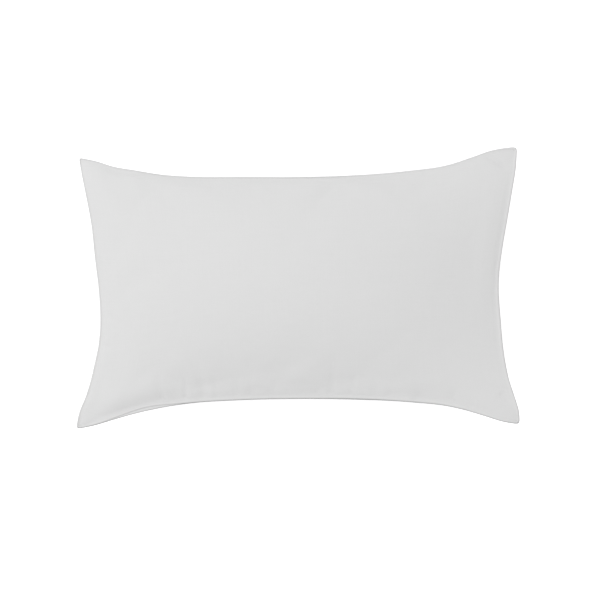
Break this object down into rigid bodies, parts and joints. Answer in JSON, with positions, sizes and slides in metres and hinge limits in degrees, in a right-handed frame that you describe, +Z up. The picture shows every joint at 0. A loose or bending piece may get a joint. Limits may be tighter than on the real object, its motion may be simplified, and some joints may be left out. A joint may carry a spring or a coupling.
{
  "type": "bed pillow",
  "caption": "Rectangular bed pillow: fibre fill in a sewn ticking, inside a removable woven cover closed by a concealed zip in one long seam.",
  "frame": {"origin": "on the surface the pillow rests on, under the middle of its plan outline", "axes": "+X along the pillow's length, towards the end where the zip closes; +Y towards the long side without the zip; +Z up, out of the front face"},
  "size_m": [0.78, 0.496, 0.1802],
  "materials": {
    "cover_cotton": "plain woven cotton, matt, pale grey",
    "ticking_cotton": "dense plain weave, matt, off-white",
    "polyester_fibre": "loose hollow fibre, matt, white",
    "sewing_thread": "spun polyester thread, matt, pale grey",
    "zip_tape": "knitted tape, matt, pale grey",
    "zip_coil_nylon": "satin nylon, pale grey",
    "slider_nickel": "die-cast, nickel plated, satin"
  },
  "bodies": {
    "pillow": {"cover_front_panel": "cover_cotton", "cover_back_panel": "cover_cotton", "cover_overlock_head": "sewing_thread", "cover_overlock_left": "sewing_thread", "cover_overlock_right": "sewing_thread", "cover_overlock_zip_left": "sewing_thread", "cover_overlock_zip_right": "sewing_thread", "ticking_front_panel": "ticking_cotton", "ticking_back_panel": "ticking_cotton", "ticking_overlock_head": "sewing_thread", "ticking_overlock_left": "sewing_thread", "ticking_overlock_right": "sewing_thread", "ticking_overlock_zip_side": "sewing_thread", "fibre_fill": "polyester_fibre", "zip_tape_front": "zip_tape", "zip_tape_back": "zip_tape", "zip_coil_front": "zip_coil_nylon", "zip_coil_back": "zip_coil_nylon", "bar_tack_closed_end": "sewing_thread", "bar_tack_open_end": "sewing_thread"},
    "slider": {"zip_slider": "slider_nickel"},
    "pull_tab": {"zip_pull_tab": "slider_nickel"}
  },
  "joints": [
    {"name": "zip_slide", "type": "slide", "parent": "pillow", "child": "slider", "axis": [1, 0, 0], "range_m": [-0.375, 0]},
    {"name": "pull_tab_hinge", "type": "hinge", "parent": "slider", "child": "pull_tab", "pos_m": [0.188, -0.1906, 0.082], "axis": [0, 0, 1], "range_deg": [0, 120]}
  ]
}
